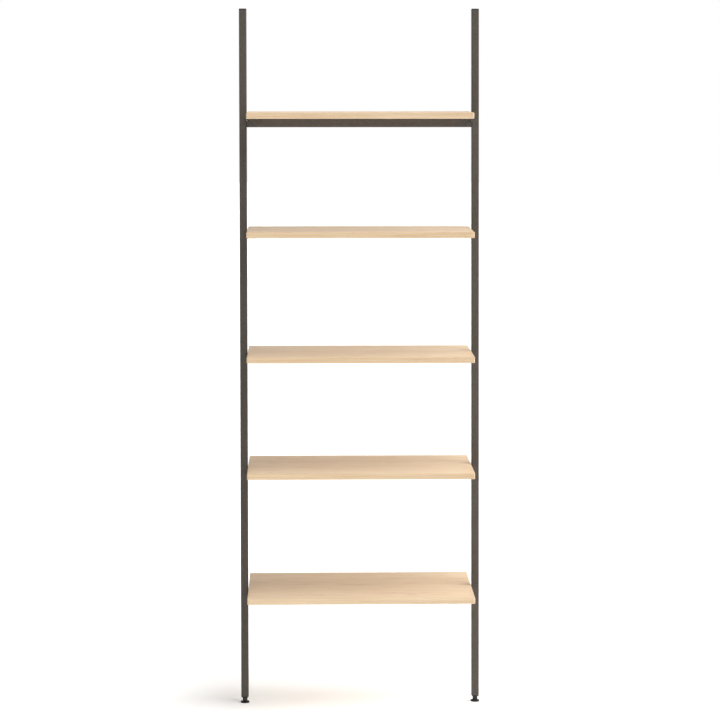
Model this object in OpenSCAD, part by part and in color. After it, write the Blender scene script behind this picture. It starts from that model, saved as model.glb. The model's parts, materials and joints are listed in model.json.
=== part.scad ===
// Leaning ladder shelf. Two square-tube rails stand on levelling feet and lean back towards a
// wall. Five boards lie between the rails on welded arms, and their back edges meet the wall.
// Millimetres. +Z is up, +X is right as seen from the room, and the wall is at the back, +Y.
// The origin is on the floor, under the middle of the bottom board.

/* [Overall] */
// Height from the floor to the top of the rail caps
overall_h = 1855; // [1850:1:1950]
// Width over both rails
overall_w = 640; // [520:1:900]
// Lean of the rails from the vertical, in degrees
lean = 4.2; // [3.8:0.1:4.5]
// From the wall to the middle of a rail, measured along the floor
rail_to_wall = 191.5; // [188:0.5:195]

/* [Boards] */
// Thickness of every board
board_t = 16; // [15:1:22]
// Gap between a board's end and the rail beside it
board_gap = 1; // [0.5:0.5:2]
// Radius of a board's upright corners
board_corner = 3; // [1:0.5:6]
// Top of the bottom board above the floor
bottom_top = 315; // [300:1:330]
// Depth of the bottom board, from the wall to its front edge
bottom_depth = 340; // [325:1:350]
// Top of the lower board above the floor
lower_top = 641.5; // [620:0.5:660]
// Depth of the lower board
lower_depth = 310; // [295:1:325]
// Top of the middle board above the floor
middle_top = 945; // [925:1:965]
// Depth of the middle board
middle_depth = 280; // [265:1:295]
// Top of the upper board above the floor
upper_top = 1271; // [1250:1:1290]
// Depth of the upper board
upper_depth = 250; // [235:1:265]
// Top of the top board above the floor
top_top = 1581.5; // [1560:0.5:1600]
// Depth of the top board
top_depth = 210; // [200:1:225]

/* [Rails and cross bar] */
// Outside size of the square rail tube
tube = 20; // [19:0.5:22]
// Wall thickness of all tube
tube_wall = 1.5; // [1:0.25:2]
// Outside corner radius of all tube
tube_corner = 3; // [2.5:0.5:4]
// Height of the cross bar under the top board
bar_h = 25; // [22:1:30]
// Depth of the cross bar, from front to back
bar_d = 20; // [18:1:22]
// Height of a rail cap's head above the tube
cap_head = 3; // [2:0.5:5]
// Length of plastic plug inside a tube's end
plug_l = 25; // [15:1:35]

/* [Arms] */
// Thickness of the sheet an arm is bent from
arm_t = 3; // [2:0.5:4]
// Width of the arm's flange under the board
arm_w = 28; // [24:1:36]
// Height of the arm's upright web at the rail
arm_web = 10; // [8:1:14]
// From the board's front edge to the front end of the arm
arm_front = 40; // [30:1:50]
// From the wall to the back end of the arm
arm_back = 28; // [25:1:40]

/* [Levelling feet] */
// From the floor to the underside of the plug, along the rail
foot_gap = 14; // [13.5:0.5:18]
// Radius of the pad on the floor
pad_r = 12; // [10:0.5:14]
// Thickness of the pad's rim
pad_rim = 3.5; // [2:0.5:3.5]
// Radius of the threaded stem, M8
stem_r = 4; // [3:0.5:5]
// Length of thread above the stem's hexagon
stem_l = 36; // [34:1:45]
// Width across the flats of the stem's hexagon
hex_flats = 13; // [11:1:14]

/* [Wall angles] */
// Distance between the two wall screws
wall_pitch = 400; // [200:5:480]
// Radius of the hole for a wall screw
wall_hole_r = 2.75; // [2:0.25:3.5]
// Length of both legs of a wall angle
angle_leg = 24; // [22:1:26]
// Width of a wall angle
angle_w = 22; // [20:1:30]
// Thickness of a wall angle
angle_t = 2; // [1.5:0.5:3]

/* [Hidden] */
$fn = 64;

// Each board is [height of its top, depth]
BOTTOM = [bottom_top, bottom_depth];
LOWER = [lower_top, lower_depth];
MIDDLE = [middle_top, middle_depth];
UPPER = [upper_top, upper_depth];
TOP = [top_top, top_depth];

wall_y = bottom_depth / 2;
rail_x = (overall_w - tube) / 2;
rail_y = wall_y - rail_to_wall;
inside_x = overall_w / 2 - tube;
cap_top = (overall_h - tube / 2 * sin(lean)) / cos(lean);
rail_start = foot_gap + cap_head;
rail_end = cap_top - cap_head;
plug_fit = 0.1;
plug_w = tube - 2 * (tube_wall + plug_fit);
plug_corner = tube_corner - tube_wall;

arm_inner_x = inside_x - arm_w;
arm_screw_x = inside_x - arm_t - (arm_w - arm_t) / 2;
arm_corner = 6;
arm_screw_front = 35;
arm_screw_back = 20;
arm_foot = 10;

bar_top = top_top - board_t;
bar_mid = bar_top - bar_h / 2;
bar_y = rail_y + bar_mid * tan(lean);
bar_end_gap = 0.3;
bar_end = inside_x - arm_t - bar_end_gap;
bar_screw_x = overall_w / 4 - tube / 2;
bar_access_r = 5;
spigot_l = 30;
bolt_in = 18;
bolt_r = 2.5;
bolt_head_r = 4.5;
bolt_head_h = 2.6;

screw_r = 2;
screw_hole_r = 2.25;
screw_head_r = 4;
screw_head_h = 2.4;
screw_grip = 11;
screw_tip = 3;
pilot_depth = screw_grip + 0.5;
thread_fit = 0.05;

ball_r = 4;
ball_s = 5;
neck_r = 2.6;
hex_start = 8;
hex_end = 12.5;
boss_r = 6.5;
boss_top = 7;
cone_top = 4.5;
running_fit = 0.06;

angle_screw_x = 5.5;
angle_screw_y = wall_y - (angle_leg + angle_t) / 2;
angle_hole_drop = 14;

// How far back the middle of a leaning rail is at height z
function rail_mid(z) = rail_y + z * tan(lean);
// The underside of a board, and its front edge
function under(board) = board[0] - board_t;
function front(board) = wall_y - board[1];
// Front and back ends of a board's arms, and the two screws in each arm
function arm_ends(board) = [front(board) + arm_front, wall_y - arm_back];
function arm_screws(board) = [
    arm_ends(board)[0] + arm_screw_front,
    arm_ends(board)[1] - arm_screw_back
];

// ---- Shared shapes ----

// A rectangle with true round corners, about the origin
module rounded(w, h, r) {
    square([w - 2 * r, h], center = true);
    square([w, h - 2 * r], center = true);
    for (sx = [-1, 1], sy = [-1, 1])
        translate([sx * (w / 2 - r), sy * (h / 2 - r)])
            circle(r);
}

// The section of a rectangular tube
module tube_section(w, h) {
    difference() {
        rounded(w, h, tube_corner);
        rounded(w - 2 * tube_wall, h - 2 * tube_wall, plug_corner);
    }
}

// Places children in a rail's own frame: Z runs up the middle of the leaning rail from the floor
module leaning(side) {
    translate([side * rail_x, rail_y, 0])
        rotate([-lean, 0, 0])
            children();
}

// A pan-head screw driven upwards, its head under z = 0
module wood_screw(grip) {
    translate([0, 0, -screw_head_h])
        cylinder(h = screw_head_h, r = screw_head_r);
    cylinder(h = grip - screw_tip, r = screw_r - thread_fit);
    translate([0, 0, grip - screw_tip])
        cylinder(h = screw_tip, r1 = screw_r - thread_fit, r2 = thread_fit);
}

// ---- Rails ----

module rail(side) {
    color("#5c554f")
        leaning(side)
            translate([0, 0, rail_start])
                linear_extrude(rail_end - rail_start)
                    tube_section(tube, tube);
}

// The closed cap in the top end of a rail
module cap(side) {
    color("#262422")
        leaning(side) {
            translate([0, 0, rail_end])
                linear_extrude(cap_head)
                    rounded(tube, tube, tube_corner);
            translate([0, 0, rail_end - plug_l / 2])
                linear_extrude(plug_l / 2)
                    rounded(plug_w, plug_w, plug_corner);
        }
}

// The plug in the bottom end of a rail, bored for the foot's stem
module plug(side) {
    color("#262422")
        leaning(side)
            difference() {
                union() {
                    translate([0, 0, foot_gap])
                        linear_extrude(cap_head)
                            rounded(tube, tube, tube_corner);
                    translate([0, 0, rail_start])
                        linear_extrude(plug_l)
                            rounded(plug_w, plug_w, plug_corner);
                }
                translate([0, 0, foot_gap - 1])
                    cylinder(h = plug_l + cap_head + 2, r = stem_r + running_fit);
            }
}

// ---- Levelling feet ----

// Ball, neck, hexagon and thread in one turned piece
module stem(side) {
    color("#2b2927")
        leaning(side) {
            translate([0, 0, ball_s])
                sphere(ball_r);
            translate([0, 0, ball_s])
                cylinder(h = hex_start - ball_s + 1, r = neck_r);
            translate([0, 0, hex_start])
                cylinder(h = hex_end - hex_start, r = hex_flats / 2 / cos(30), $fn = 6);
            translate([0, 0, hex_end - 1])
                cylinder(h = stem_l + 1, r = stem_r);
        }
}

// The flat pad, with a socket that the stem's ball turns in
module pad(side) {
    ball_y = rail_y + ball_s * sin(lean);
    ball_z = ball_s * cos(lean);
    color("#1d1c1b")
        translate([side * rail_x, ball_y, 0])
            difference() {
                rotate_extrude()
                    polygon([
                        [0, 0], [pad_r, 0], [pad_r, pad_rim], [boss_r, cone_top],
                        [boss_r, boss_top], [0, boss_top]
                    ]);
                translate([0, 0, ball_z])
                    sphere(ball_r + running_fit);
            }
}

// ---- Cross bar ----

module cross_bar() {
    color("#4e4942")
        difference() {
            translate([-bar_end, bar_y, bar_mid])
                rotate([90, 0, 90])
                    linear_extrude(2 * bar_end)
                        tube_section(bar_d, bar_h);
            for (side = [-1, 1]) {
                translate([side * bar_screw_x, bar_y, bar_mid])
                    cylinder(h = bar_h, r = screw_hole_r);
                translate([side * bar_screw_x, bar_y, bar_mid - bar_h])
                    cylinder(h = bar_h, r = bar_access_r);
                translate([side * (inside_x - arm_t - bolt_in), bar_y, bar_mid])
                    rotate([-90, 0, 0])
                        cylinder(h = bar_d, r = bolt_r);
            }
        }
}

// The block welded to the top arm, which the end of the cross bar slides over
module spigot(side) {
    depth = bar_d - 2 * (tube_wall + plug_fit);
    height = bar_h - 2 * (tube_wall + plug_fit);
    mid_x = inside_x - arm_t - spigot_l / 2;
    color("#6d665f")
        difference() {
            translate([side * mid_x, bar_y, bar_mid])
                rotate([90, 0, 90])
                    translate([0, 0, -spigot_l / 2])
                        linear_extrude(spigot_l)
                            rounded(depth, height, plug_corner);
            translate([side * (inside_x - arm_t - bolt_in), bar_y, bar_mid])
                rotate([-90, 0, 0])
                    cylinder(h = bar_d, r = bolt_r);
        }
}

// The bolts through the back of the bar that lock it on its spigots
module spigot_bolts() {
    color("#2b2927")
        for (side = [-1, 1])
            translate([side * (inside_x - arm_t - bolt_in), bar_y + bar_d / 2, bar_mid])
                rotate([-90, 0, 0]) {
                    cylinder(h = bolt_head_h, r = bolt_head_r);
                    translate([0, 0, thread_fit - bar_d / 2])
                        cylinder(h = bar_d / 2, r = bolt_r - thread_fit);
                }
}

// The screws inside the bar that hold the top board down on it
module cross_bar_screws() {
    color("#2b2927")
        for (side = [-1, 1])
            translate([side * bar_screw_x, bar_y, bar_top - tube_wall])
                wood_screw(tube_wall + screw_grip);
}

// ---- Boards and arms ----

module board(b) {
    color("#e0c39c")
        difference() {
            translate([0, wall_y - b[1] / 2, under(b)])
                linear_extrude(board_t)
                    rounded(2 * (inside_x - board_gap), b[1], board_corner);
            for (side = [-1, 1], y = arm_screws(b))
                translate([side * arm_screw_x, y, under(b) - 1])
                    cylinder(h = pilot_depth + 1, r = screw_r);
        }
}

// More pilot holes, two over the cross bar and two for each wall angle
module top_board() {
    color("#e0c39c")
        difference() {
            board(TOP);
            for (side = [-1, 1]) {
                translate([side * bar_screw_x, bar_y, under(TOP) - 1])
                    cylinder(h = pilot_depth + 1, r = screw_r);
                for (sx = [-1, 1])
                    translate([side * wall_pitch / 2 + sx * angle_screw_x, angle_screw_y, under(TOP) - 1])
                        cylinder(h = pilot_depth + 1, r = screw_r);
            }
        }
}

// The outline of an arm's upright web, with Y to the right and Z up
module web_outline(b) {
    mid = rail_mid(under(b));
    ends = arm_ends(b);
    polygon([
        [ends[0], 0],
        [ends[0], -arm_t],
        [mid - tube / 2 - arm_foot, -arm_web],
        [mid + tube / 2 + arm_foot, -arm_web],
        [ends[1], -arm_t],
        [ends[1], 0]
    ]);
}

// The outline of an arm's flange on the right-hand side, seen from above
module flange_outline(b) {
    ends = arm_ends(b);
    length = ends[1] - ends[0];
    difference() {
        union() {
            translate([inside_x - arm_w / 2, (ends[0] + ends[1]) / 2])
                rounded(arm_w, length, arm_corner);
            translate([inside_x - arm_corner, ends[0]])
                square([arm_corner, length]);
        }
        for (y = arm_screws(b))
            translate([arm_screw_x, y])
                circle(screw_hole_r);
    }
}

// Mirrors a right-hand child for the left-hand side
module on_side(side) {
    if (side < 0)
        mirror([1, 0, 0])
            children();
    else
        children();
}

module arm_solid(b) {
    translate([0, 0, under(b) - arm_t])
        linear_extrude(arm_t)
            flange_outline(b);
    translate([inside_x - arm_t, 0, under(b)])
        rotate([90, 0, 90])
            linear_extrude(arm_t)
                web_outline(b);
}

module arm(b, side) {
    color("#5c554f")
        on_side(side)
            arm_solid(b);
}

// The top arm is notched for the cross bar, and its web is deeper there to take the spigot
module top_arm(side) {
    notch = bar_d + 2 * bar_end_gap;
    color("#5c554f")
        on_side(side) {
            difference() {
                arm_solid(TOP);
                translate([arm_inner_x - 1, bar_y - notch / 2, under(TOP) - bar_h])
                    cube([arm_w - arm_t + 1, notch, bar_h + 1]);
            }
            translate([inside_x - arm_t, bar_y - notch / 2, under(TOP) - bar_h])
                cube([arm_t, notch, bar_h]);
        }
}

// The screws that hold a board down on its two arms
module board_screws(b) {
    color("#2b2927")
        for (side = [-1, 1], y = arm_screws(b))
            translate([side * arm_screw_x, y, under(b) - arm_t])
                wood_screw(arm_t + screw_grip);
}

// ---- Wall angles under the top board, behind the cross bar ----

module wall_angle(side) {
    color("#b9b6b0")
        translate([side * wall_pitch / 2, wall_y, under(TOP)])
            difference() {
                union() {
                    translate([-angle_w / 2, -angle_leg, -angle_t])
                        cube([angle_w, angle_leg, angle_t]);
                    translate([-angle_w / 2, -angle_t, -angle_leg])
                        cube([angle_w, angle_t, angle_leg]);
                }
                translate([0, 1, -angle_hole_drop])
                    rotate([90, 0, 0])
                        cylinder(h = angle_t + 2, r = wall_hole_r);
                for (sx = [-1, 1])
                    translate([sx * angle_screw_x, angle_screw_y - wall_y, -angle_t - 1])
                        cylinder(h = angle_t + 2, r = screw_hole_r);
            }
}

module wall_angle_screws() {
    color("#b9b6b0")
        for (side = [-1, 1], sx = [-1, 1])
            translate([side * wall_pitch / 2 + sx * angle_screw_x, angle_screw_y, under(TOP) - angle_t])
                wood_screw(angle_t + screw_grip);
}

rail(-1);  // left_rail
rail(1);  // right_rail
cap(-1);  // left_cap
cap(1);  // right_cap
plug(-1);  // left_plug
plug(1);  // right_plug
stem(-1);  // left_stem
stem(1);  // right_stem
pad(-1);  // left_pad
pad(1);  // right_pad
cross_bar();
spigot(-1);  // left_spigot
spigot(1);  // right_spigot
spigot_bolts();
cross_bar_screws();
board(BOTTOM);  // bottom_board
board(LOWER);  // lower_board
board(MIDDLE);  // middle_board
board(UPPER);  // upper_board
top_board();
arm(BOTTOM, -1);  // bottom_left_arm
arm(BOTTOM, 1);  // bottom_right_arm
arm(LOWER, -1);  // lower_left_arm
arm(LOWER, 1);  // lower_right_arm
arm(MIDDLE, -1);  // middle_left_arm
arm(MIDDLE, 1);  // middle_right_arm
arm(UPPER, -1);  // upper_left_arm
arm(UPPER, 1);  // upper_right_arm
top_arm(-1);  // top_left_arm
top_arm(1);  // top_right_arm
board_screws(BOTTOM);  // bottom_screws
board_screws(LOWER);  // lower_screws
board_screws(MIDDLE);  // middle_screws
board_screws(UPPER);  // upper_screws
board_screws(TOP);  // top_screws
wall_angle(-1);  // left_wall_angle
wall_angle(1);  // right_wall_angle
wall_angle_screws();
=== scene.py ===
"""Leaning ladder shelf: its visible pieces, their finishes, a pale studio and a camera.

Two leaning square tubes stand on levelling feet. Five wooden boards lie between them on welded
sheet arms, with a cross bar under the top board. Lengths are in metres, in the frame's own axes.
"""

import json
import math

import bmesh
import bpy
from bpy.props import FloatProperty, FloatVectorProperty, PointerProperty
from mathutils import Matrix, Vector


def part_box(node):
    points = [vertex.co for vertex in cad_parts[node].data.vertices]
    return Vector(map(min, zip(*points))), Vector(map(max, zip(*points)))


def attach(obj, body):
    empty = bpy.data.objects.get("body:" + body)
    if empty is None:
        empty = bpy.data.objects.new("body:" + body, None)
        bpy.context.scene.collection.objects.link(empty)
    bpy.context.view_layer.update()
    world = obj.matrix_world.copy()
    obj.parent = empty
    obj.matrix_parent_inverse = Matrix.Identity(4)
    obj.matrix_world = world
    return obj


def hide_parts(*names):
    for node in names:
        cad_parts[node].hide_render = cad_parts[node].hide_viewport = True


bl_info = {
    "name": "Ladder Shelf",
    "version": (1, 0, 0),
    "blender": (4, 5, 0),
    "location": "View3D > Sidebar > Shelf",
    "description": "Models a leaning ladder shelf around its packed frame",
    "category": "Object",
}

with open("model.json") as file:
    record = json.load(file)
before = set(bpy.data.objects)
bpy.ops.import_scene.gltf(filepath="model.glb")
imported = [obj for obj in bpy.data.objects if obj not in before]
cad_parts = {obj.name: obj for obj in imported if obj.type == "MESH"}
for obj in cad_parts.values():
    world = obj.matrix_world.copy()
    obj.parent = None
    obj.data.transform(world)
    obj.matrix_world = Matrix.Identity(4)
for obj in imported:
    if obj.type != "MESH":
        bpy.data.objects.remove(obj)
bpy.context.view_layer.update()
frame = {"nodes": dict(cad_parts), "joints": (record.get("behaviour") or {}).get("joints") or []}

MM = 0.001
SIDES = {"left": -1, "right": 1}
BOARDS = ("bottom", "lower", "middle", "upper", "top")

FOOT = next(j for j in frame["joints"] if j["name"] == "right_foot_turn")
BALL = Vector(FOOT["pos_m"])
UP_THE_RAIL = -Vector(FOOT["axis"]).normalized()
LEAN = math.atan2(UP_THE_RAIL.y, UP_THE_RAIL.z)
BALL_ALONG = BALL.z / UP_THE_RAIL.z
RAIL_FOOT = BALL - UP_THE_RAIL * BALL_ALONG

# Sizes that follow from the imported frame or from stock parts
MOST_LENGTH = 100 * MM  # the most that a size may be set to
FIT_GAP = 0.1 * MM  # between a plug and the inside of its tube
CAP_PLUG = 12 * MM
BOTTOM_PLUG = 25 * MM
STEM_R = 4 * MM  # M8
BALL_R = 4 * MM
RUNNING_R = 4.06 * MM  # bore and socket that the stem turns in
NECK_R = 2.6 * MM
NECK_RISE = 3 * MM  # from the ball's middle to the hexagon
STEM_TIP = 0.6 * MM
BOSS_R = 6.5 * MM
PAD_CONE = 1.0 * MM
ARM_WEB = 10 * MM
ARM_TIP = 0.4 * MM  # what is left of the web at an arm's ends
BAR_MOUTH = 40 * MM
DRIVER_HOLE_R = 5 * MM
SCREW_R = 1.95 * MM
SCREW_GRIP = 11 * MM
SCREW_TIP = 2.8 * MM
ANGLE_SCREW_STEP = 11 * MM
BOLT_R = 2.4 * MM
BOLT_KEY = 1.5 * MM  # half of the hexagon key's width
WALL_HOLE_R = 2.75 * MM
WALL_HOLE_DROP = 14 * MM
ANGLE_CORNER = 3 * MM
NOTCH_GAP = 0.3 * MM
BEAD_STEP = 1.1 * MM
BEAD_BELOW, BEAD_ABOVE = 0.4 * MM, 0.2 * MM
PLATE_INSET, PLATE_DROP = 0.2 * MM, 4 * MM

# Radii of small edges
STEM_END_EDGE = 0.8 * MM
HEXAGON_EDGE = 0.7 * MM
PAD_EDGE = 0.9 * MM
PAD_FOOT_EDGE = 0.4 * MM
BOSS_EDGE = 0.5 * MM

# Where the stem's thread starts under the hexagon's top, stops below the tip and meets its core
THREAD_START = 1.5 * MM
THREAD_STOP = 1.8 * MM
THREAD_ROOT = 0.1 * MM

# How far a cutter runs past what it cuts, and a joined shape into its neighbour
PAST = 5 * MM
INTO = 0.5 * MM
JUST_PAST = 1 * MM
SHANK_INTO = 0.2 * MM
BOLT_INTO = 0.1 * MM

FLOOR_WIDTH = 60.0
KEY_SPREAD = math.radians(70)
SIDE_AIM = Vector((0, 0, 0.9))
SIDE_PLACE = Vector((2.0, -0.7, 2.1))
SIDE_WIDTH, SIDE_HEIGHT = 1.2, 1.6
SENSOR_MM = 36
# Where the surroundings change brightness, as directions' X, Y and Z
LEFT_SPAN = (-0.9, -0.2)
FRONT_SPAN = (-0.9, -0.1)
RISE_SPAN = (0.12, 0.4)
FLOOR_GLOW = 0.26
FLOOR_CLOUD = 667  # millimetres


def linear(code):
    """An sRGB hex colour as the linear red, green and blue that a shader takes."""
    parts = [int(code[i : i + 2], 16) / 255 for i in (1, 3, 5)]
    return tuple(p / 12.92 if p <= 0.04045 else ((p + 0.055) / 1.055) ** 2.4 for p in parts)


# ---- What a user may change ----


def length(name, description, default_mm):
    return FloatProperty(
        name=name,
        description=description,
        default=default_mm * MM,
        min=0.0,
        max=MOST_LENGTH,
        subtype="DISTANCE",
        unit="LENGTH",
        precision=4,
    )


def distance(name, description, default):
    return FloatProperty(name=name, description=description, default=default, unit="LENGTH")


def angle(name, description, degrees):
    return FloatProperty(name=name, description=description, default=math.radians(degrees), subtype="ANGLE")


def amount(name, description, default):
    return FloatProperty(name=name, description=description, default=default)


def colour(name, description, code):
    return FloatVectorProperty(
        name=name,
        description=description,
        default=linear(code),
        min=0.0,
        max=1.0,
        size=3,
        subtype="COLOR",
    )


class ShelfSizes(bpy.types.PropertyGroup):
    """Sizes of the rounding, bends and small fittings."""

    board_edge: length("Board edge", "Radius of a board's long edges", 2.0)
    board_corner: length("Board corner", "Radius of a board's upright corners", 3.0)
    tube_corner: length("Tube corner", "Outside corner radius of the tube", 3.0)
    tube_wall: length("Tube wall", "Wall thickness of the tube", 1.5)
    cap_edge: length("Cap edge", "Radius of a cap's top edge", 1.0)
    plug_edge: length("Plug edge", "Radius of a bottom plug's lower edge", 2.9)
    bend: length("Bend", "Outside radius of a bend in sheet", 2.5)
    arm_sheet: length("Arm sheet", "Thickness of the sheet the arms are bent from", 3.0)
    arm_corner: length("Arm corner", "Radius of an arm's inner corners", 6.0)
    arm_foot: length("Arm foot", "How far an arm's full height runs past the tube", 10.0)
    weld: length("Weld", "Radius of a weld bead", 1.6)
    thread_pitch: length("Thread pitch", "Rise of the stem's thread in one turn", 1.25)
    thread_depth: length("Thread depth", "Depth of the stem's thread", 0.65)
    hexagon: length("Hexagon", "Width across the flats of the stem's hexagon", 13.0)
    hexagon_thick: length("Hexagon thickness", "Thickness of the stem's hexagon", 4.5)
    pad_rim: length("Pad rim", "Thickness of the pad's rim", 3.5)
    screw_head: length("Screw head", "Radius of a wood screw's head", 4.0)
    screw_rise: length("Screw rise", "Height of a wood screw's head", 2.4)
    bolt_head: length("Bolt head", "Radius of a bar bolt's head", 4.5)
    bolt_rise: length("Bolt rise", "Height of a bar bolt's head", 2.6)
    angle_sheet: length("Wall angle sheet", "Thickness of a wall angle", 2.0)
    stave: length("Stave", "Width of one glued stave in a board", 46.0)
    ring: length("Growth ring", "Distance between growth rings", 3.4)


class ShelfColours(bpy.types.PropertyGroup):
    """Colours of the finishes."""

    wood_pale: colour("Pale wood", "Early wood under matt lacquer", "#E7D0B1")
    wood_honey: colour("Honey wood", "The board's middle tone", "#DBC09D")
    wood_late: colour("Late wood", "The dark side of a growth ring", "#C69E73")
    coat: colour("Powder coat", "Warm dark grey powder coat", "#5A534C")
    # Painted shade: this darker colour fills the hollows of the pebbled coat, and also gives the drift its
    # random darker tone
    coat_low_and_shade: colour("Powder coat low", "The coat in the hollows of its texture", "#4A443E")
    plastic: colour("Black plastic", "Moulded caps, plugs and pads", "#171615")
    zinc: colour("Zinc plate", "Bright zinc on the wall angles", "#C9C6BF")
    black_steel: colour("Black steel", "Phosphated screws and foot stems", "#3B3834")
    floor: colour("Floor", "Studio floor and sweep", "#FAFAFA")


class ShelfStudio(bpy.types.PropertyGroup):
    """Camera and light."""

    camera_x: distance("Camera X", "Camera to the right", -0.1496)
    camera_y: distance("Camera Y", "Camera behind the origin", -6.5068)
    camera_z: distance("Camera Z", "Camera above the floor", 1.7)
    yaw: angle("Yaw", "Turn to the right", 1.318)
    tilt: angle("Tilt", "Tilt down", 6.423)
    lens: amount("Lens", "Focal length in millimetres", 123.06)
    shift_y: amount("Shift", "Vertical lens shift", -0.022)
    key: amount("Key", "Strength of the broad key light", 3.7)
    key_height: angle("Key height", "Key light above the horizon", 52)
    key_side: angle("Key side", "Key light to the right of the front", 76)
    side: FloatProperty(
        name="Side", description="Power of the softbox on the right", default=5.0, unit="POWER"
    )
    horizon: amount("Horizon", "Brightness of the pale surroundings", 1.0)
    dome: amount("Dome", "Brightness overhead", 0.34)
    front: amount("Front", "Brightness of the side behind the camera", 0.28)
    shade: amount("Shade", "Brightness of the left side", 0.8)


# ---- Modelling helpers ----


def choose(*pieces):
    """Leaves only these pieces selected, with the first one active."""
    bpy.ops.object.select_all(action="DESELECT")
    for piece in pieces:
        piece.select_set(True)
    bpy.context.view_layer.objects.active = pieces[0]


def settle(piece, name=None):
    """Puts a new piece's place into its mesh and names it."""
    choose(piece)
    bpy.ops.object.transform_apply(location=True, rotation=True, scale=True)
    if name:
        piece.name = name
        piece.data.name = name
    return piece


def block(low, high, name=None):
    """A cuboid between two corners."""
    low, high = Vector(low), Vector(high)
    bpy.ops.object.select_all(action="DESELECT")
    bpy.ops.mesh.primitive_cube_add(size=1, location=(low + high) / 2, scale=high - low)
    return settle(bpy.context.object, name)


def rod(radius, low, high, sides=48, name=None):
    """A closed cylinder standing on a point."""
    bpy.ops.object.select_all(action="DESELECT")
    bpy.ops.mesh.primitive_cylinder_add(
        vertices=sides, radius=radius, depth=high - low, location=(0, 0, (low + high) / 2)
    )
    return settle(bpy.context.object, name)


def pick(kind, test):
    """In edit mode, selects the VERT, EDGE or FACE elements that pass a test, and nothing else."""
    bpy.ops.mesh.select_mode(type=kind)
    bpy.ops.mesh.select_all(action="DESELECT")
    mesh = bpy.context.object.data
    shape = bmesh.from_edit_mesh(mesh)
    found = {"VERT": shape.verts, "EDGE": shape.edges, "FACE": shape.faces}[kind]
    count = 0
    for item in found:
        if test(item):
            item.select_set(True)
            count += 1
    bmesh.update_edit_mesh(mesh)
    if not count:
        raise RuntimeError(f"{bpy.context.object.name}: nothing to select")
    return count


def edit(piece):
    choose(piece)
    bpy.ops.object.mode_set(mode="EDIT")


def leave():
    bpy.ops.object.mode_set(mode="OBJECT")


def runs_along(axis):
    """A test for edges that run along X, Y or Z (0, 1 or 2)."""

    def test(edge):
        step = edge.verts[1].co - edge.verts[0].co
        return abs(step[axis]) > 0.999 * step.length

    return test


def at(axis, value, reach=1e-5):
    """A test for elements whose every vertex is at a value along an axis."""

    def test(item):
        points = [item] if isinstance(item, bmesh.types.BMVert) else item.verts
        return all(abs(v.co[axis] - value) < reach for v in points)

    return test


def round_off(radius, segments):
    bpy.ops.mesh.bevel(offset=radius, offset_type="OFFSET", segments=segments, profile=0.5, affect="EDGES")


def slice_at(axis, value):
    """Cuts the whole mesh by a plane across an axis, and keeps both sides joined."""
    bpy.ops.mesh.select_all(action="SELECT")
    normal, point = [0, 0, 0], [0, 0, 0]
    normal[axis], point[axis] = 1, value
    bpy.ops.mesh.bisect(plane_co=point, plane_no=normal)


def cut_away(piece, cutter, operation="DIFFERENCE"):
    """Cuts one closed shape out of another, and throws the cutter away."""
    choose(piece)
    tool = piece.modifiers.new("cut", "BOOLEAN")
    tool.operation = operation
    tool.solver = "EXACT"
    tool.object = cutter
    bpy.ops.object.modifier_apply(modifier=tool.name)
    bpy.data.objects.remove(cutter)
    return piece


def join(*pieces):
    choose(*pieces)
    bpy.ops.object.join()
    return bpy.context.object


def soften(piece, angle=35):
    """Smooth shading that stays flat on the flats."""
    choose(piece)
    bpy.ops.object.shade_smooth_by_angle(angle=math.radians(angle))
    tool = piece.modifiers.new("flats", "WEIGHTED_NORMAL")
    tool.keep_sharp = True
    tool.weight = 100
    bpy.ops.object.modifier_apply(modifier=tool.name)
    return piece


def copied(piece, name, matrix):
    """A copy with its own mesh, moved by a matrix. A mirrored copy has its faces turned back out."""
    other = piece.copy()
    other.data = piece.data.copy()
    bpy.context.scene.collection.objects.link(other)
    other.data.transform(matrix)
    if matrix.determinant() < 0:
        other.data.flip_normals()
    other.name = name
    other.data.name = name
    return other


def lean_over(piece, side):
    """Moves a piece from a rail's own upright frame to its place on the leaning rail."""
    place = Matrix.Translation((side * RAIL_FOOT.x, RAIL_FOOT.y, 0)) @ Matrix.Rotation(-LEAN, 4, "X")
    piece.data.transform(place)
    return piece


def along_rail(node, top=True):
    """How far up the rail the top or bottom of a square-ended node lies."""
    low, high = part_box(node)
    half = (high.x - low.x) / 2
    if top:
        return (high.z - half * math.sin(LEAN)) / math.cos(LEAN)
    return (low.z + half * math.sin(LEAN)) / math.cos(LEAN)


def fit(piece, material, nodes, body="frame"):
    """Gives a finished piece its finish, its body and the nodes it stands for."""
    piece.data.materials.clear()
    piece.data.materials.append(material)
    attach(piece, body)
    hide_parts(*nodes)
    return piece


# ---- Finishes ----


def connect(tree, node, sockets):
    """Fills sockets. A value is a number, a colour, a socket, or a node, which gives its first."""
    for key, value in sockets.items():
        if isinstance(value, bpy.types.Node):
            value = value.outputs[0]
        if isinstance(value, bpy.types.NodeSocket):
            tree.links.new(value, node.inputs[key])
        else:
            node.inputs[key].default_value = value


def add(tree, kind, sockets=None, stops=(), **settings):
    """Adds a node with its settings and links, and a ramp's (place, colour) stops."""
    node = tree.nodes.new("ShaderNode" + kind)
    for name, value in settings.items():
        setattr(node, name, value)
    connect(tree, node, sockets or {})
    if stops:
        elements = node.color_ramp.elements
        while len(elements) < len(stops):
            elements.new(0.5)
        for element, (place, value) in zip(elements, stops):
            element.position = place
            element.color = rgba(value)
    return node


def rgba(value):
    return (*value, 1.0)


def lighter(value, times):
    return [min(1.0, part * times) for part in value]


def new_finish(name):
    """An empty material, its node tree and its shader."""
    material = bpy.data.materials.new(name)
    material.use_nodes = True
    tree = material.node_tree
    return material, tree, tree.nodes["Principled BSDF"]


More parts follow.
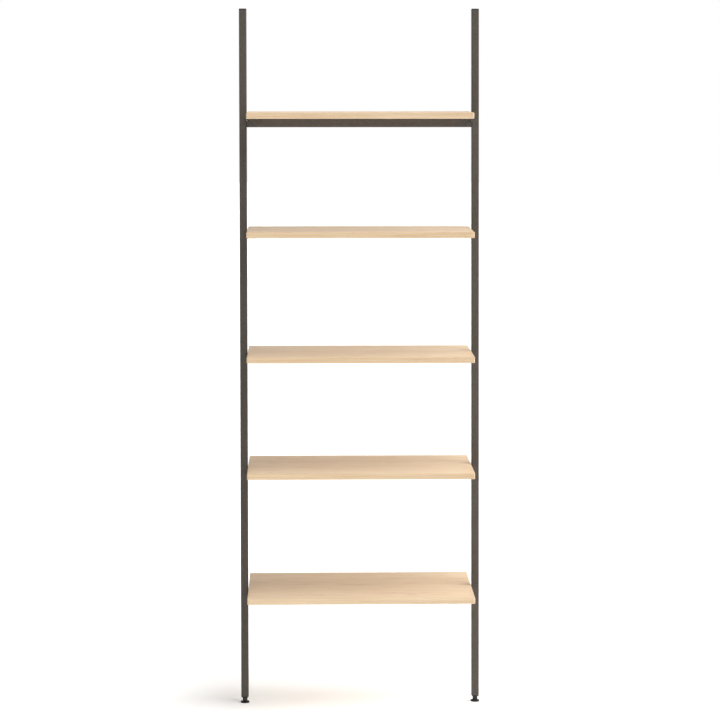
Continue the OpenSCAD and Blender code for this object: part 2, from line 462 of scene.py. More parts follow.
def cells(tree, size_mm, detail):
    """Soft cloudy cells of a real size, fixed to the piece."""
    coords = add(tree, "TexCoord").outputs["Object"]
    sized = add(tree, "Mapping", {"Vector": coords, "Scale": (1 / (size_mm * MM),) * 3})
    return add(tree, "TexNoise", {"Vector": sized, "Scale": 1.0, "Detail": detail})


# Powder coat: cell sizes in millimetres, and how much each adds to the tone
PEBBLE, PEBBLE_TONE = 0.9, 0.7
DRIFT, DRIFT_TONE = 9.0, 0.3


def powder_coat(colours):
    """Baked polyester powder on steel tube: a soft sheen over a fine pebbled skin, so that flats
    read warm grey and the tube's round corners fall off dark. The hollows of the pebbles get the
    darker low colour as painted shade. The pebbles lie over a faint, slow drift in tone that keeps
    long flats from looking printed. Real pebbles are nearer 0.5 mm, and are drawn as coarse as
    they need to be to show."""
    material, tree, shader = new_finish("powder_coated_steel")
    pebbles = cells(tree, PEBBLE, 1.0)
    drift = cells(tree, DRIFT, 3.0)
    fine = add(tree, "Math", {0: pebbles, 1: PEBBLE_TONE}, operation="MULTIPLY")
    mixed = add(tree, "Math", {0: drift, 1: DRIFT_TONE, 2: fine}, operation="MULTIPLY_ADD")
    # The low stop paints shade into the pebbles' hollows, and the drift adds random tone
    skin = add(tree, "ValToRGB", {"Fac": mixed}, [(0.34, colours.coat_low_and_shade), (0.66, colours.coat)])
    sheen = add(tree, "Math", {0: drift, 1: 0.06, 2: 0.47}, operation="MULTIPLY_ADD")
    relief = add(tree, "Bump", {"Height": pebbles, "Strength": 0.25, "Distance": 0.12 * MM})
    connect(tree, shader, {"Base Color": skin, "Roughness": sheen, "Normal": relief})
    connect(tree, shader, {"IOR": 1.5, "Specular IOR Level": 0.3})
    return material


# The log that each stave is cut from, in millimetres
PITH_SIDEWAYS = 60.0
PITH_BELOW, PITH_SPREAD = 22.0, 70.0
LOG_LENGTH = 900.0
RING_WANDER = 34.0
# Steps that give every board and stave its own place in the noise
BOARD_STEP = 137.0
STAVE_STEP = 31.7
# Cells per millimetre along and across the grain
WANDER_CELLS = (0.0030, 0.018)
FIBRE_CELLS = (0.012, 1.0)
STREAK_CELLS = (0.0045, 0.16)
PORE_CELLS = (0.10, 1.7)
# How much each pattern adds to the tone
RING_TONE, STREAK_TONE, FIBRE_TONE, STAVE_TONE = 0.26, 0.75, 0.40, 0.16
TONE_BASE = -0.30
RING_SHARPNESS = 2.2
PORE_LEVEL, PORE_TONE = 0.67, 0.35


def light_wood(colours, sizes, number):
    """Edge-glued pale hardwood under matt lacquer, grain along X. Each stave is cut from its own
    place in the log: growth rings are cylinders round a pith below the board, so faces show long
    straight streaks and ends show arcs. Fibres 1 mm wide break up the rings."""
    material, tree, shader = new_finish(f"light_wood_{BOARDS[number]}")
    coords = add(tree, "TexCoord").outputs["Object"]
    place = {"Vector": coords, "Scale": (1 / MM,) * 3, "Location": (BOARD_STEP * number, 0, 0)}
    x, y, z = add(tree, "SeparateXYZ", {"Vector": add(tree, "Mapping", place)}).outputs
    width = sizes.stave / MM
    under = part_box(f"{BOARDS[number]}_board")[0].z / MM

    stave = add(tree, "Math", {0: y, 1: width}, operation="DIVIDE")
    stave = add(tree, "Math", {0: stave}, operation="FLOOR")
    tag = add(tree, "Math", {0: stave, 1: STAVE_STEP * (number + 1)}, operation="ADD")
    chance = add(tree, "TexWhiteNoise", {"W": tag}, noise_dimensions="1D").outputs["Color"]
    side_roll, depth_roll, run_roll = add(tree, "SeparateColor", {"Color": chance}).outputs

    middle = add(tree, "Math", {0: stave, 1: width, 2: width / 2}, operation="MULTIPLY_ADD")
    across = add(tree, "Math", {0: y, 1: middle}, operation="SUBTRACT")
    aside = {0: side_roll, 1: PITH_SIDEWAYS, 2: -PITH_SIDEWAYS / 2}
    aside = add(tree, "Math", aside, operation="MULTIPLY_ADD")
    across = add(tree, "Math", {0: across, 1: aside}, operation="ADD")
    below = {0: depth_roll, 1: PITH_SPREAD, 2: PITH_BELOW}
    below = add(tree, "Math", below, operation="MULTIPLY_ADD")
    depth = add(tree, "Math", {0: z, 1: under}, operation="SUBTRACT")
    depth = add(tree, "Math", {0: depth, 1: below}, operation="ADD")
    run = add(tree, "Math", {0: run_roll, 1: LOG_LENGTH, 2: x}, operation="MULTIPLY_ADD")
    log = add(tree, "CombineXYZ", {0: run, 1: across, 2: depth})

    def streaked(per_mm, detail, roughness=0.5):
        """Noise drawn out along the log."""
        along, sideways = per_mm
        stretched = add(tree, "Mapping", {"Vector": log, "Scale": (along, sideways, sideways)})
        look = {"Vector": stretched, "Scale": 1.0, "Detail": detail, "Roughness": roughness}
        return add(tree, "TexNoise", look)

    wander = streaked(WANDER_CELLS, 2.0)
    fibres = streaked(FIBRE_CELLS, 3.0, 0.6)
    streaks = streaked(STREAK_CELLS, 3.0)
    pores = streaked(PORE_CELLS, 1.0)

    squared = add(tree, "Math", {0: across, 1: across}, operation="MULTIPLY")
    squared = add(tree, "Math", {0: depth, 1: depth, 2: squared}, operation="MULTIPLY_ADD")
    reach = add(tree, "Math", {0: squared}, operation="SQRT")
    bent = add(tree, "Math", {0: wander, 1: RING_WANDER, 2: reach}, operation="MULTIPLY_ADD")
    ring = add(tree, "Math", {0: bent, 1: sizes.ring / MM}, operation="DIVIDE")
    ring = add(tree, "Math", {0: ring}, operation="FRACT")
    late = add(tree, "Math", {0: ring, 1: 2.0}, operation="MULTIPLY")
    late = add(tree, "Math", {0: late, 1: 1.0}, operation="PINGPONG")
    late = add(tree, "Math", {0: late, 1: RING_SHARPNESS}, operation="POWER")

    tone = TONE_BASE
    for pattern, much in (
        (late, RING_TONE),
        (streaks, STREAK_TONE),
        (fibres, FIBRE_TONE),
        (depth_roll, STAVE_TONE),
    ):
        tone = add(tree, "Math", {0: pattern, 1: much, 2: tone}, operation="MULTIPLY_ADD")
    stops = [(0.12, colours.wood_pale), (0.48, colours.wood_honey), (0.98, colours.wood_late)]
    body = add(tree, "ValToRGB", {"Fac": tone}, stops)
    flecks = add(tree, "Math", {0: pores, 1: PORE_LEVEL}, operation="GREATER_THAN")
    flecks = add(tree, "Math", {0: flecks, 1: PORE_TONE}, operation="MULTIPLY")
    marks = {"Factor": flecks, "A": body, "B": rgba(colours.wood_late)}
    marked = add(tree, "Mix", marks, data_type="RGBA").outputs["Result"]
    lacquer = add(tree, "Math", {0: fibres, 1: 0.16, 2: 0.34}, operation="MULTIPLY_ADD")
    relief = add(tree, "Bump", {"Height": fibres, "Strength": 0.30, "Distance": 0.2 * MM})
    connect(tree, shader, {"Base Color": marked, "Roughness": lacquer, "Normal": relief, "IOR": 1.47})
    return material


def moulded_plastic(colours):
    """Injection-moulded black polyamide: a spark-eroded 0.6 mm grain that keeps it matt."""
    material, tree, shader = new_finish("moulded_plastic")
    grain = cells(tree, 0.6, 1.0)
    cloud = cells(tree, 14, 2.0)
    stops = [(0.3, colours.plastic), (0.75, lighter(colours.plastic, 1.5))]
    body = add(tree, "ValToRGB", {"Fac": cloud}, stops)
    sheen = add(tree, "Math", {0: grain, 1: 0.14, 2: 0.45}, operation="MULTIPLY_ADD")
    relief = add(tree, "Bump", {"Height": grain, "Strength": 0.2, "Distance": 0.1 * MM})
    connect(tree, shader, {"Base Color": body, "Roughness": sheen, "Normal": relief, "IOR": 1.53})
    return material


def zinc_plate(colours):
    """Bright zinc on pressed steel: cool metal with a faint 4 mm bloom in its gloss."""
    material, tree, shader = new_finish("zinc_plate")
    bloom = cells(tree, 4, 3.0)
    stops = [(0.3, lighter(colours.zinc, 0.8)), (0.65, colours.zinc)]
    plate = add(tree, "ValToRGB", {"Fac": bloom}, stops)
    gloss = add(tree, "Math", {0: bloom, 1: 0.2, 2: 0.24}, operation="MULTIPLY_ADD")
    relief = add(tree, "Bump", {"Height": bloom, "Strength": 0.08, "Distance": 0.1 * MM})
    connect(tree, shader, {"Base Color": plate, "Roughness": gloss, "Normal": relief, "Metallic": 1.0})
    return material


def black_phosphate(colours):
    """Phosphated and oiled steel: near black, with a dull metal glint on its edges. Its 0.5 mm
    crystals are drawn coarser than real ones so that they show."""
    material, tree, shader = new_finish("black_phosphate")
    crystals = cells(tree, 0.5, 2.0)
    stops = [(0.3, colours.black_steel), (0.7, lighter(colours.black_steel, 1.8))]
    skin = add(tree, "ValToRGB", {"Fac": crystals}, stops)
    gloss = add(tree, "Math", {0: crystals, 1: 0.15, 2: 0.36}, operation="MULTIPLY_ADD")
    relief = add(tree, "Bump", {"Height": crystals, "Strength": 0.12, "Distance": 0.05 * MM})
    connect(tree, shader, {"Base Color": skin, "Roughness": gloss, "Normal": relief, "Metallic": 0.6})
    return material


def studio_paint(colours):
    """Matt white floor of a light table, lit a little from below so that the shelf's own shadow
    stays faint: even, with no gloss to mirror the lights."""
    material, tree, shader = new_finish("studio_paint")
    cloud = cells(tree, FLOOR_CLOUD, 1.0)
    stops = [(0.3, lighter(colours.floor, 0.985)), (0.7, colours.floor)]
    connect(tree, shader, {"Base Color": add(tree, "ValToRGB", {"Fac": cloud}, stops), "Roughness": 0.9})
    glow = {"Emission Color": rgba(colours.floor), "Emission Strength": FLOOR_GLOW}
    connect(tree, shader, {"Specular IOR Level": 0.1, **glow})
    return material


def finish_named(name):
    """The finish with this name, made the first time it is asked for."""
    made = bpy.data.materials.get(name)
    if made:
        return made
    scene = bpy.context.scene
    makers = {
        "powder_coated_steel": powder_coat,
        "moulded_plastic": moulded_plastic,
        "zinc_plate": zinc_plate,
        "black_phosphate": black_phosphate,
        "studio_paint": studio_paint,
    }
    return makers[name](scene.shelf_colours)


# ---- Operators ----


class SHELF_OT_stage(bpy.types.Operator):
    """Lay the pale floor, hang the lights and set up the camera."""

    bl_idname = "shelf.stage"
    bl_label = "Stage"
    bl_options = {"REGISTER", "UNDO"}

    def execute(self, context):
        studio = context.scene.shelf_studio
        scene = bpy.context.scene
        scene.view_settings.view_transform = "Standard"
        self.floor()
        self.lights(studio)
        self.surroundings(studio)
        self.camera(studio)
        return {"FINISHED"}

    def floor(self):
        bpy.ops.object.select_all(action="DESELECT")
        bpy.ops.mesh.primitive_plane_add(size=FLOOR_WIDTH, location=(0, 0, 0))
        floor = settle(bpy.context.object, "studio_floor")
        floor.data.materials.append(finish_named("studio_paint"))

    def lights(self, studio):
        sun = bpy.data.lights.new("key", "SUN")
        sun.energy = studio.key
        sun.angle = KEY_SPREAD
        key = bpy.data.objects.new("key", sun)
        key.rotation_euler = (math.pi / 2 - studio.key_height, 0, studio.key_side)
        bpy.context.scene.collection.objects.link(key)
        softbox("side", SIDE_AIM, SIDE_PLACE, SIDE_WIDTH, SIDE_HEIGHT, studio.side)

    def surroundings(self, studio):
        """Pale walls all round, darker to the left, behind the camera and overhead."""
        world = bpy.data.worlds.new("studio_air")
        world.use_nodes = True
        tree = world.node_tree
        sky = tree.nodes["Background"]
        sky.inputs["Color"].default_value = (1, 1, 1, 1)
        way = add(tree, "TexCoord").outputs["Generated"]
        axes = add(tree, "SeparateXYZ", {"Vector": way})
        brightness = 1.0
        for axis, (start, end), before, after in (
            (0, LEFT_SPAN, studio.shade, 1.0),
            (1, FRONT_SPAN, studio.front, 1.0),
            (2, RISE_SPAN, studio.horizon, studio.dome),
        ):
            span = {"Value": axes.outputs[axis], "From Min": start, "From Max": end}
            span.update({"To Min": before, "To Max": after})
            part = add(tree, "MapRange", span, interpolation_type="SMOOTHSTEP")
            brightness = add(tree, "Math", {0: brightness, 1: part}, operation="MULTIPLY")
        connect(tree, sky, {"Strength": brightness})
        bpy.context.scene.world = world

    def camera(self, studio):
        lens = bpy.data.cameras.new("camera")
        lens.sensor_width = SENSOR_MM
        lens.lens = studio.lens
        lens.shift_y = studio.shift_y
        camera = bpy.data.objects.new("camera", lens)
        camera.location = (studio.camera_x, studio.camera_y, studio.camera_z)
        camera.rotation_euler = (math.pi / 2 - studio.tilt, 0, -studio.yaw)
        bpy.context.scene.collection.objects.link(camera)
        bpy.context.scene.camera = camera


def softbox(name, target, place, width, height, power):
    """A rectangular soft light that faces a point."""
    lamp = bpy.data.lights.new(name, "AREA")
    lamp.shape = "RECTANGLE"
    lamp.size = width
    lamp.size_y = height
    lamp.energy = power
    light = bpy.data.objects.new(name, lamp)
    light.location = place
    light.rotation_euler = (target - place).to_track_quat("-Z", "Y").to_euler()
    bpy.context.scene.collection.objects.link(light)


class SHELF_OT_rails(bpy.types.Operator):
    """Model one rail as round-cornered tube, open at both ends, and copy it to the other side."""

    bl_idname = "shelf.rails"
    bl_label = "Rails"
    bl_options = {"REGISTER", "UNDO"}

    def execute(self, context):
        sizes = context.scene.shelf_sizes
        low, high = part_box("left_rail")
        half = (high.x - low.x) / 2
        start, end = along_rail("left_rail", top=False), along_rail("left_rail")
        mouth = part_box("left_cap")[1].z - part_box("left_cap")[0].z
        rail = block((-half, -half, start), (half, half, end))
        edit(rail)
        pick("EDGE", runs_along(2))
        round_off(sizes.tube_corner, 6)
        for height, inward in ((start, 1), (end, -1)):
            pick("FACE", at(2, height))
            bpy.ops.mesh.inset(thickness=sizes.tube_wall)
            bpy.ops.mesh.extrude_region_move(TRANSFORM_OT_translate={"value": (0, 0, inward * 2 * mouth)})
        leave()
        soften(rail)
        for side, sign in SIDES.items():
            tube = lean_over(copied(rail, f"{side}_rail_tube", Matrix()), sign)
            fit(tube, finish_named("powder_coated_steel"), [f"{side}_rail"])
        bpy.data.objects.remove(rail)
        return {"FINISHED"}


class SHELF_OT_caps(bpy.types.Operator):
    """Model the top cap with a softened head and a plug that fills the tube's mouth."""

    bl_idname = "shelf.caps"
    bl_label = "Rail caps"
    bl_options = {"REGISTER", "UNDO"}

    def execute(self, context):
        sizes = context.scene.shelf_sizes
        low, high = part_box("left_cap")
        half = (high.x - low.x) / 2
        under, top = along_rail("left_rail"), along_rail("left_cap")
        cap = block((-half, -half, under), (half, half, top))
        edit(cap)
        pick("EDGE", runs_along(2))
        round_off(sizes.tube_corner, 6)
        pick("EDGE", at(2, top))
        round_off(sizes.cap_edge, 3)
        pick("FACE", at(2, under))
        bpy.ops.mesh.inset(thickness=sizes.tube_wall + FIT_GAP)
        bpy.ops.mesh.extrude_region_move(TRANSFORM_OT_translate={"value": (0, 0, -CAP_PLUG)})
        leave()
        soften(cap)
        for side, sign in SIDES.items():
            piece = lean_over(copied(cap, f"{side}_top_cap", Matrix()), sign)
            fit(piece, finish_named("moulded_plastic"), [f"{side}_cap"])
        bpy.data.objects.remove(cap)
        return {"FINISHED"}


class SHELF_OT_plugs(bpy.types.Operator):
    """Model the bottom plug with its round lower edge and the hole for the foot's stem."""

    bl_idname = "shelf.plugs"
    bl_label = "Bottom plugs"
    bl_options = {"REGISTER", "UNDO"}

    def execute(self, context):
        sizes = context.scene.shelf_sizes
        low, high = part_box("left_plug")
        half = (high.x - low.x) / 2
        under, top = along_rail("left_plug", top=False), along_rail("left_rail", top=False)
        plug = block((-half, -half, under), (half, half, top))
        edit(plug)
        pick("EDGE", runs_along(2))
        round_off(sizes.tube_corner, 6)
        pick("EDGE", at(2, under))
        round_off(sizes.plug_edge, 4)
        pick("FACE", at(2, top))
        bpy.ops.mesh.inset(thickness=sizes.tube_wall + FIT_GAP)
        bpy.ops.mesh.extrude_region_move(TRANSFORM_OT_translate={"value": (0, 0, BOTTOM_PLUG)})
        leave()
        cut_away(plug, rod(RUNNING_R, under - PAST, top + BOTTOM_PLUG + PAST))
        soften(plug)
        for side, sign in SIDES.items():
            piece = lean_over(copied(plug, f"{side}_bottom_plug", Matrix()), sign)
            fit(piece, finish_named("moulded_plastic"), [f"{side}_plug"])
        bpy.data.objects.remove(plug)
        return {"FINISHED"}


class SHELF_OT_stems(bpy.types.Operator):
    """Model the foot's stem: a ball, a neck, a chamfered hexagon and a helical thread."""

    bl_idname = "shelf.stems"
    bl_label = "Foot stems"
    bl_options = {"REGISTER", "UNDO"}

    def execute(self, context):
        sizes = context.scene.shelf_sizes
        ball = BALL_ALONG
        hex_low = ball + NECK_RISE
        hex_high = hex_low + sizes.hexagon_thick
        end = (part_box("left_stem")[1].z + STEM_R * math.sin(LEAN)) / math.cos(LEAN) - STEM_TIP
        core = STEM_R - sizes.thread_depth
        bpy.ops.object.select_all(action="DESELECT")
        bpy.ops.mesh.primitive_uv_sphere_add(segments=40, ring_count=24, radius=BALL_R, location=(0, 0, ball))
        knob = settle(bpy.context.object)
        neck = rod(NECK_R, ball, hex_low + INTO, 36)
        nut = self.hexagon(sizes, hex_low, hex_high)
        shank = rod(core, hex_high - INTO, end, 40)
        edit(shank)
        pick("EDGE", at(2, end))
        round_off(STEM_END_EDGE, 2)
        leave()
        thread = self.thread(sizes, core, STEM_R, hex_high - THREAD_START, end - THREAD_STOP)
        stem = soften(join(nut, knob, neck, shank, thread), 40)
        for side, sign in SIDES.items():
            piece = lean_over(copied(stem, f"{side}_foot_stem", Matrix()), sign)
            fit(piece, finish_named("black_phosphate"), [f"{side}_stem"], f"{side}_foot_stem")
        bpy.data.objects.remove(stem)
        return {"FINISHED"}

    def hexagon(self, sizes, low, high):
        corner = sizes.hexagon / 2 / math.cos(math.pi / 6)
        nut = rod(corner, low, high, 6)
        turning = rod(corner, low, high, 64)
        edit(turning)
        pick("EDGE", lambda e: at(2, low)(e) or at(2, high)(e))
        round_off(HEXAGON_EDGE, 1)
        leave()
        return cut_away(nut, turning, "INTERSECT")

    def thread(self, sizes, core, outer, low, high):
        """A closed triangular ridge carried up the core by the screw modifier."""
        half = sizes.thread_pitch * 0.44
        bpy.ops.object.select_all(action="DESELECT")
        bpy.ops.mesh.primitive_circle_add(vertices=3, radius=half, fill_type="NGON")
        ridge = bpy.context.object
        root = core - THREAD_ROOT
        corners = ((root, 0, low - half), (outer, 0, low), (root, 0, low + half))
        for vertex, place in zip(ridge.data.vertices, corners):
            vertex.co = place
        choose(ridge)
        tool = ridge.modifiers.new("thread", "SCREW")
        tool.axis = "Z"
        tool.steps = tool.render_steps = 28
        tool.screw_offset = sizes.thread_pitch
        tool.iterations = int((high - low) / sizes.thread_pitch)
        bpy.ops.object.modifier_apply(modifier=tool.name)
        edit(ridge)
        bpy.ops.mesh.select_all(action="SELECT")
        bpy.ops.mesh.remove_doubles(threshold=1e-6)
        bpy.ops.mesh.normals_make_consistent(inside=False)
        leave()
        return ridge


class SHELF_OT_pads(bpy.types.Operator):
    """Model the foot's pad: a thin rim, a shallow cone and a boss round the ball socket."""

    bl_idname = "shelf.pads"
    bl_label = "Foot pads"
    bl_options = {"REGISTER", "UNDO"}

    def execute(self, context):
        sizes = context.scene.shelf_sizes
        low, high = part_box("left_pad")
        radius, top = (high.x - low.x) / 2, high.z
        middle = (low + high) / 2
        pad = rod(radius, 0, sizes.pad_rim, 72)
        edit(pad)
        pick("FACE", at(2, sizes.pad_rim))
        bpy.ops.mesh.inset(thickness=radius - BOSS_R)
        bpy.ops.transform.translate(value=(0, 0, PAD_CONE))
        bpy.ops.mesh.extrude_region_move(
            TRANSFORM_OT_translate={"value": (0, 0, top - sizes.pad_rim - PAD_CONE)}
        )
        pick("EDGE", lambda e: at(2, sizes.pad_rim)(e) and e.verts[0].co.xy.length > radius * 0.99)
        round_off(PAD_EDGE, 3)
        pick("EDGE", lambda e: at(2, 0)(e) and e.verts[0].co.xy.length > radius * 0.99)
        round_off(PAD_FOOT_EDGE, 2)
        pick("EDGE", lambda e: at(2, top)(e) and e.verts[0].co.xy.length > BOSS_R * 0.99)
        round_off(BOSS_EDGE, 2)
        leave()
        bpy.ops.object.select_all(action="DESELECT")
        bpy.ops.mesh.primitive_uv_sphere_add(
            segments=48, ring_count=32, radius=RUNNING_R, location=(0, 0, BALL.z)
        )
        cut_away(pad, settle(bpy.context.object))
        soften(pad, 25)
        for side, sign in SIDES.items():
            place = Matrix.Translation((sign * abs(middle.x), middle.y, 0))
            piece = copied(pad, f"{side}_floor_pad", place)
            fit(piece, finish_named("moulded_plastic"), [f"{side}_pad"], f"{side}_foot_pad")
        bpy.data.objects.remove(pad)
        return {"FINISHED"}


class SHELF_OT_cross_bar(bpy.types.Operator):
    """Model the cross bar as tube with screw holes in its underside, and coat its hidden spigots."""

    bl_idname = "shelf.cross_bar"
    bl_label = "Cross bar"
    bl_options = {"REGISTER", "UNDO"}

    def execute(self, context):
        sizes = context.scene.shelf_sizes
        low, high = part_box("cross_bar")
        bar = block(low, high, "cross_bar_tube")
        edit(bar)
        pick("EDGE", runs_along(0))
        round_off(sizes.tube_corner, 6)
        for place, inward in ((low.x, 1), (high.x, -1)):
            pick("FACE", at(0, place))
            bpy.ops.mesh.inset(thickness=sizes.tube_wall)
            bpy.ops.mesh.extrude_region_move(TRANSFORM_OT_translate={"value": (inward * BAR_MOUTH, 0, 0)})
        leave()
        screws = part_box("cross_bar_screws")
        for sign in SIDES.values():
            hole = rod(DRIVER_HOLE_R, low.z - PAST, screws[0].z + sizes.screw_rise, 40)
            place = (sign * (screws[1].x - sizes.screw_head), (low.y + high.y) / 2, 0)
            hole.data.transform(Matrix.Translation(place))
            cut_away(bar, hole)
        soften(bar)
        fit(bar, finish_named("powder_coated_steel"), ["cross_bar"])
        for side in SIDES:
            spigot = frame["nodes"][f"{side}_spigot"]
            spigot.data.materials.clear()
            spigot.data.materials.append(finish_named("powder_coated_steel"))
        return {"FINISHED"}


class SHELF_OT_boards(bpy.types.Operator):
    """Model the five boards with round corners and eased edges."""

    bl_idname = "shelf.boards"
    bl_label = "Boards"
    bl_options = {"REGISTER", "UNDO"}

    def execute(self, context):
        sizes = context.scene.shelf_sizes
        colours = context.scene.shelf_colours
        for number, name in enumerate(BOARDS):
            low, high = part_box(f"{name}_board")
            board = block(low, high, f"{name}_shelf_board")
            edit(board)
            pick("EDGE", runs_along(2))
            round_off(sizes.board_corner, 6)
            pick("EDGE", lambda e: at(2, low.z)(e) or at(2, high.z)(e))
            round_off(sizes.board_edge, 4)
            leave()
            soften(board)
            fit(board, light_wood(colours, sizes, number), [f"{name}_board"])
        return {"FINISHED"}


class SHELF_OT_arms(bpy.types.Operator):
    """Model each arm as bent sheet: a flange under the board and a web that swells at the rail."""

    bl_idname = "shelf.arms"
    bl_label = "Arms"
    bl_options = {"REGISTER", "UNDO"}

    def execute(self, context):
        sizes = context.scene.shelf_sizes
        for name in BOARDS:
            arm = self.arm(sizes, name)
            for side, sign in SIDES.items():
                place = Matrix.Scale(sign, 4, (1, 0, 0))
                piece = copied(arm, f"{name}_{side}_sheet_arm", place)
                fit(piece, finish_named("powder_coated_steel"), [f"{name}_{side}_arm"])
            bpy.data.objects.remove(arm)
        return {"FINISHED"}

    def arm(self, sizes, name):
        low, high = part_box(f"{name}_right_arm")
        sheet = sizes.arm_sheet
        inner = high.x - sheet
        rail = RAIL_FOOT.y + high.z * math.tan(LEAN)
        half = (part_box("left_rail")[1].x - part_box("left_rail")[0].x) / 2 + sizes.arm_foot
        arm = block((low.x, low.y, high.z - sheet), (high.x, high.y, high.z))
        edit(arm)
        pick("EDGE", lambda e: runs_along(2)(e) and at(0, low.x)(e))
        round_off(sizes.arm_corner, 6)
        slice_at(0, inner)
        slice_at(1, rail - half)
        slice_at(1, rail + half)
        under = high.z - sheet
        pick("FACE", lambda f: at(2, under)(f) and f.calc_center_median().x > inner)
        bpy.ops.mesh.extrude_region_move(TRANSFORM_OT_translate={"value": (0, 0, sheet - ARM_WEB)})
        foot = high.z - ARM_WEB
        pick("VERT", lambda v: at(2, foot)(v) and abs(v.co.y - rail) > half + JUST_PAST)
        bpy.ops.transform.translate(value=(0, 0, ARM_WEB - sheet - ARM_TIP))
        pick("EDGE", lambda e: runs_along(1)(e) and at(2, high.z)(e) and at(0, high.x)(e))
        round_off(sizes.bend, 4)
        leave()
        if name == "top":
            self.fit_round_bar(arm, low, high, inner)
        reach = half - sizes.arm_foot
        beads = [self.bead(sizes, high.x, rail + way * reach, foot, high.z - sheet) for way in (-1, 1)]
        return soften(join(arm, *beads))

    def fit_round_bar(self, arm, low, high, inner):
        """Notches the flange for the cross bar and deepens the web where the spigot is welded."""
        bar_low, bar_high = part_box("cross_bar")
        gap = NOTCH_GAP
        cut_away(
            arm,
            block(
                (low.x - JUST_PAST, bar_low.y - gap, low.z - JUST_PAST),
                (inner, bar_high.y + gap, high.z + JUST_PAST),
            ),
        )
        plate = block(
            (inner, bar_low.y - gap, bar_low.z),
            (high.x - PLATE_INSET, bar_high.y + gap, high.z - PLATE_DROP),
        )
        join(arm, plate)

    def bead(self, sizes, face, place, low, high):
        """An upright weld bead, its ripples turned on a rod, beside the tube."""
        count = max(4, int((high - low) / BEAD_STEP))
        bead = rod(sizes.weld, low - BEAD_BELOW, high + BEAD_ABOVE, 12)
        edit(bead)
        for step in range(1, count):
            slice_at(2, low + (high - low) * step / count)
        rings = count / (high - low)
        pick(
            "EDGE",
            lambda e: at(2, e.verts[0].co.z)(e) and round((e.verts[0].co.z - low) * rings) % 2,
        )
        bpy.ops.transform.resize(value=(0.86, 0.86, 1))
        leave()
        bead.data.transform(Matrix.Translation((face - sizes.weld * 0.35, place, 0)))
        return bead


class SHELF_OT_screws(bpy.types.Operator):
    """Model one pan-head screw with a cross recess, and set a copy in every hole."""

    bl_idname = "shelf.screws"
    bl_label = "Wood screws"
    bl_options = {"REGISTER", "UNDO"}

    def execute(self, context):
        sizes = context.scene.shelf_sizes
        screw = self.screw(sizes)
        for name in BOARDS:
            low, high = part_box(f"{name}_screws")
            xs = [sign * (high.x - sizes.screw_head) for sign in SIDES.values()]
            ys = [low.y + sizes.screw_head, high.y - sizes.screw_head]
            places = [(x, y, low.z) for x in xs for y in ys]
            self.set_in(screw, f"{name}_screws", places, "black_phosphate")
        low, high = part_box("cross_bar_screws")
        places = [
            (sign * (high.x - sizes.screw_head), (low.y + high.y) / 2, low.z) for sign in SIDES.values()
        ]
        self.set_in(screw, "cross_bar_screws", places, "black_phosphate")
        low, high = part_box("wall_angle_screws")
        outer = high.x - sizes.screw_head
        places = [
            (sign * x, (low.y + high.y) / 2, low.z)
            for sign in SIDES.values()
            for x in (outer, outer - ANGLE_SCREW_STEP)
        ]
        self.set_in(screw, "wall_angle_screws", places, "zinc_plate")
        bpy.data.objects.remove(screw)
        return {"FINISHED"}

    def set_in(self, screw, node, places, finish):
        copies = [copied(screw, f"{node}_{i}", Matrix.Translation(p)) for i, p in enumerate(places)]
        group = join(*copies)
        group.name = group.data.name = f"{node}_set"
        fit(group, finish_named(finish), [node])

    def screw(self, sizes):
        """The head hangs from z = its own rise down to 0, and the shank rises into the board."""
        radius, rise = sizes.screw_head, sizes.screw_rise
        head = rod(radius, 0, rise, 40)
        edit(head)
        pick("EDGE", at(2, 0))
        round_off(rise * 0.62, 5)
        leave()
        for size in ((radius * 0.62, radius * 0.16), (radius * 0.16, radius * 0.62)):
            slot = block((-size[0], -size[1], -JUST_PAST), (size[0], size[1], rise * 0.6))
            cut_away(head, slot)
        shank = rod(SCREW_R, rise - SHANK_INTO, rise + SCREW_GRIP, 24)
        edit(shank)
        pick("FACE", at(2, rise + SCREW_GRIP))
        bpy.ops.mesh.extrude_region_move(TRANSFORM_OT_translate={"value": (0, 0, SCREW_TIP)})
        bpy.ops.transform.resize(value=(0.08, 0.08, 1))
        leave()
        return soften(join(head, shank), 40)


class SHELF_OT_bar_bolts(bpy.types.Operator):
    """Model the button-head bolts that lock the cross bar from behind."""

    bl_idname = "shelf.bar_bolts"
    bl_label = "Bar bolts"
    bl_options = {"REGISTER", "UNDO"}

    def execute(self, context):
        sizes = context.scene.shelf_sizes
        low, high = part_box("spigot_bolts")
        rise, radius = sizes.bolt_rise, sizes.bolt_head
        head = rod(radius, 0, rise, 48)
        edit(head)
        pick("EDGE", at(2, rise))
        round_off(rise * 0.7, 6)
        leave()
        cut_away(head, rod(BOLT_KEY / math.cos(math.pi / 6), rise * 0.35, rise + JUST_PAST, 6))
        shank = rod(BOLT_R, -(high.y - low.y - rise), BOLT_INTO, 32)
        bolt = soften(join(head, shank), 40)
        turn = Matrix.Rotation(-math.pi / 2, 4, "X")
        copies = []
        for side, sign in SIDES.items():
            place = Matrix.Translation((sign * (high.x - radius), high.y - rise, (low.z + high.z) / 2))
            copies.append(copied(bolt, f"{side}_bolt", place @ turn))
        bpy.data.objects.remove(bolt)
        group = join(*copies)
        group.name = group.data.name = "bar_bolt_set"
        fit(group, finish_named("black_phosphate"), ["spigot_bolts"])
        return {"FINISHED"}


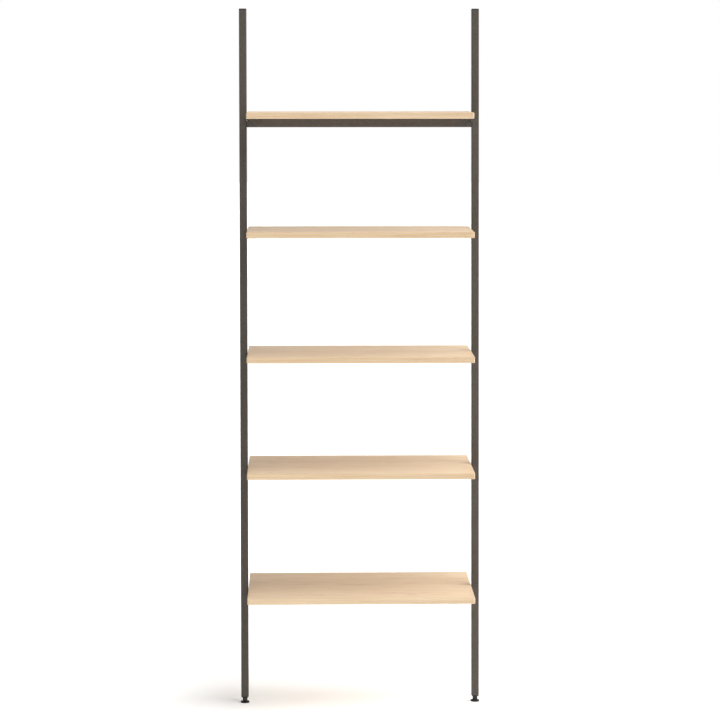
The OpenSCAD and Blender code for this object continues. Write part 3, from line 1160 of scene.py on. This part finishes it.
class SHELF_OT_wall_angles(bpy.types.Operator):
    """Model the bent wall angle with the hole for its wall screw, and copy it to the other side."""

    bl_idname = "shelf.wall_angles"
    bl_label = "Wall angles"
    bl_options = {"REGISTER", "UNDO"}

    def execute(self, context):
        sizes = context.scene.shelf_sizes
        low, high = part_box("right_wall_angle")
        sheet = sizes.angle_sheet
        middle = (low.x + high.x) / 2
        angle = block((low.x, low.y, high.z - sheet), high)
        edit(angle)
        slice_at(1, high.y - sheet)
        pick("FACE", lambda f: at(2, high.z - sheet)(f) and f.calc_center_median().y > high.y - sheet)
        bpy.ops.mesh.extrude_region_move(TRANSFORM_OT_translate={"value": (0, 0, low.z - high.z + sheet)})
        pick("EDGE", lambda e: runs_along(0)(e) and at(1, high.y)(e) and at(2, high.z)(e))
        round_off(sizes.bend * 0.9, 4)
        pick("EDGE", lambda e: runs_along(2)(e) and at(1, low.y)(e))
        round_off(ANGLE_CORNER, 4)
        pick("EDGE", lambda e: runs_along(1)(e) and at(2, low.z)(e))
        round_off(ANGLE_CORNER, 4)
        leave()
        wall_hole = rod(WALL_HOLE_R, -PAST, PAST, 36)
        turn = Matrix.Rotation(math.pi / 2, 4, "X")
        wall_hole.data.transform(Matrix.Translation((middle, high.y, high.z - WALL_HOLE_DROP)) @ turn)
        cut_away(angle, wall_hole)
        soften(angle)
        other = copied(angle, "left_bent_wall_angle", Matrix.Translation((-2 * middle, 0, 0)))
        angle.name = angle.data.name = "right_bent_wall_angle"
        fit(angle, finish_named("zinc_plate"), ["right_wall_angle"])
        fit(other, finish_named("zinc_plate"), ["left_wall_angle"])
        return {"FINISHED"}


class SHELF_PT_panel(bpy.types.Panel):
    """Lists the shelf's pieces and its settings."""

    bl_label = "Ladder shelf"
    bl_idname = "SHELF_PT_panel"
    bl_space_type = "VIEW_3D"
    bl_region_type = "UI"
    bl_category = "Shelf"

    def draw(self, context):
        for operator in OPERATORS:
            self.layout.operator(operator.bl_idname)
        for group in (context.scene.shelf_sizes, context.scene.shelf_colours, context.scene.shelf_studio):
            box = self.layout.box()
            for name in group.__annotations__:
                box.prop(group, name)


OPERATORS = (
    SHELF_OT_stage,
    SHELF_OT_rails,
    SHELF_OT_caps,
    SHELF_OT_plugs,
    SHELF_OT_stems,
    SHELF_OT_pads,
    SHELF_OT_cross_bar,
    SHELF_OT_boards,
    SHELF_OT_arms,
    SHELF_OT_screws,
    SHELF_OT_bar_bolts,
    SHELF_OT_wall_angles,
)
GROUPS = {"shelf_sizes": ShelfSizes, "shelf_colours": ShelfColours, "shelf_studio": ShelfStudio}


def register():
    for group in GROUPS.values():
        bpy.utils.register_class(group)
    for name, group in GROUPS.items():
        setattr(bpy.types.Scene, name, PointerProperty(type=group))
    for operator in OPERATORS:
        bpy.utils.register_class(operator)
    bpy.utils.register_class(SHELF_PT_panel)


def unregister():
    bpy.utils.unregister_class(SHELF_PT_panel)
    for operator in reversed(OPERATORS):
        bpy.utils.unregister_class(operator)
    for name, group in GROUPS.items():
        delattr(bpy.types.Scene, name)
        bpy.utils.unregister_class(group)


def main():
    """Builds the stage and every piece."""
    register()
    for operator in OPERATORS:
        family, name = operator.bl_idname.split(".")
        getattr(getattr(bpy.ops, family), name)()


if __name__ == "__main__":
    main()
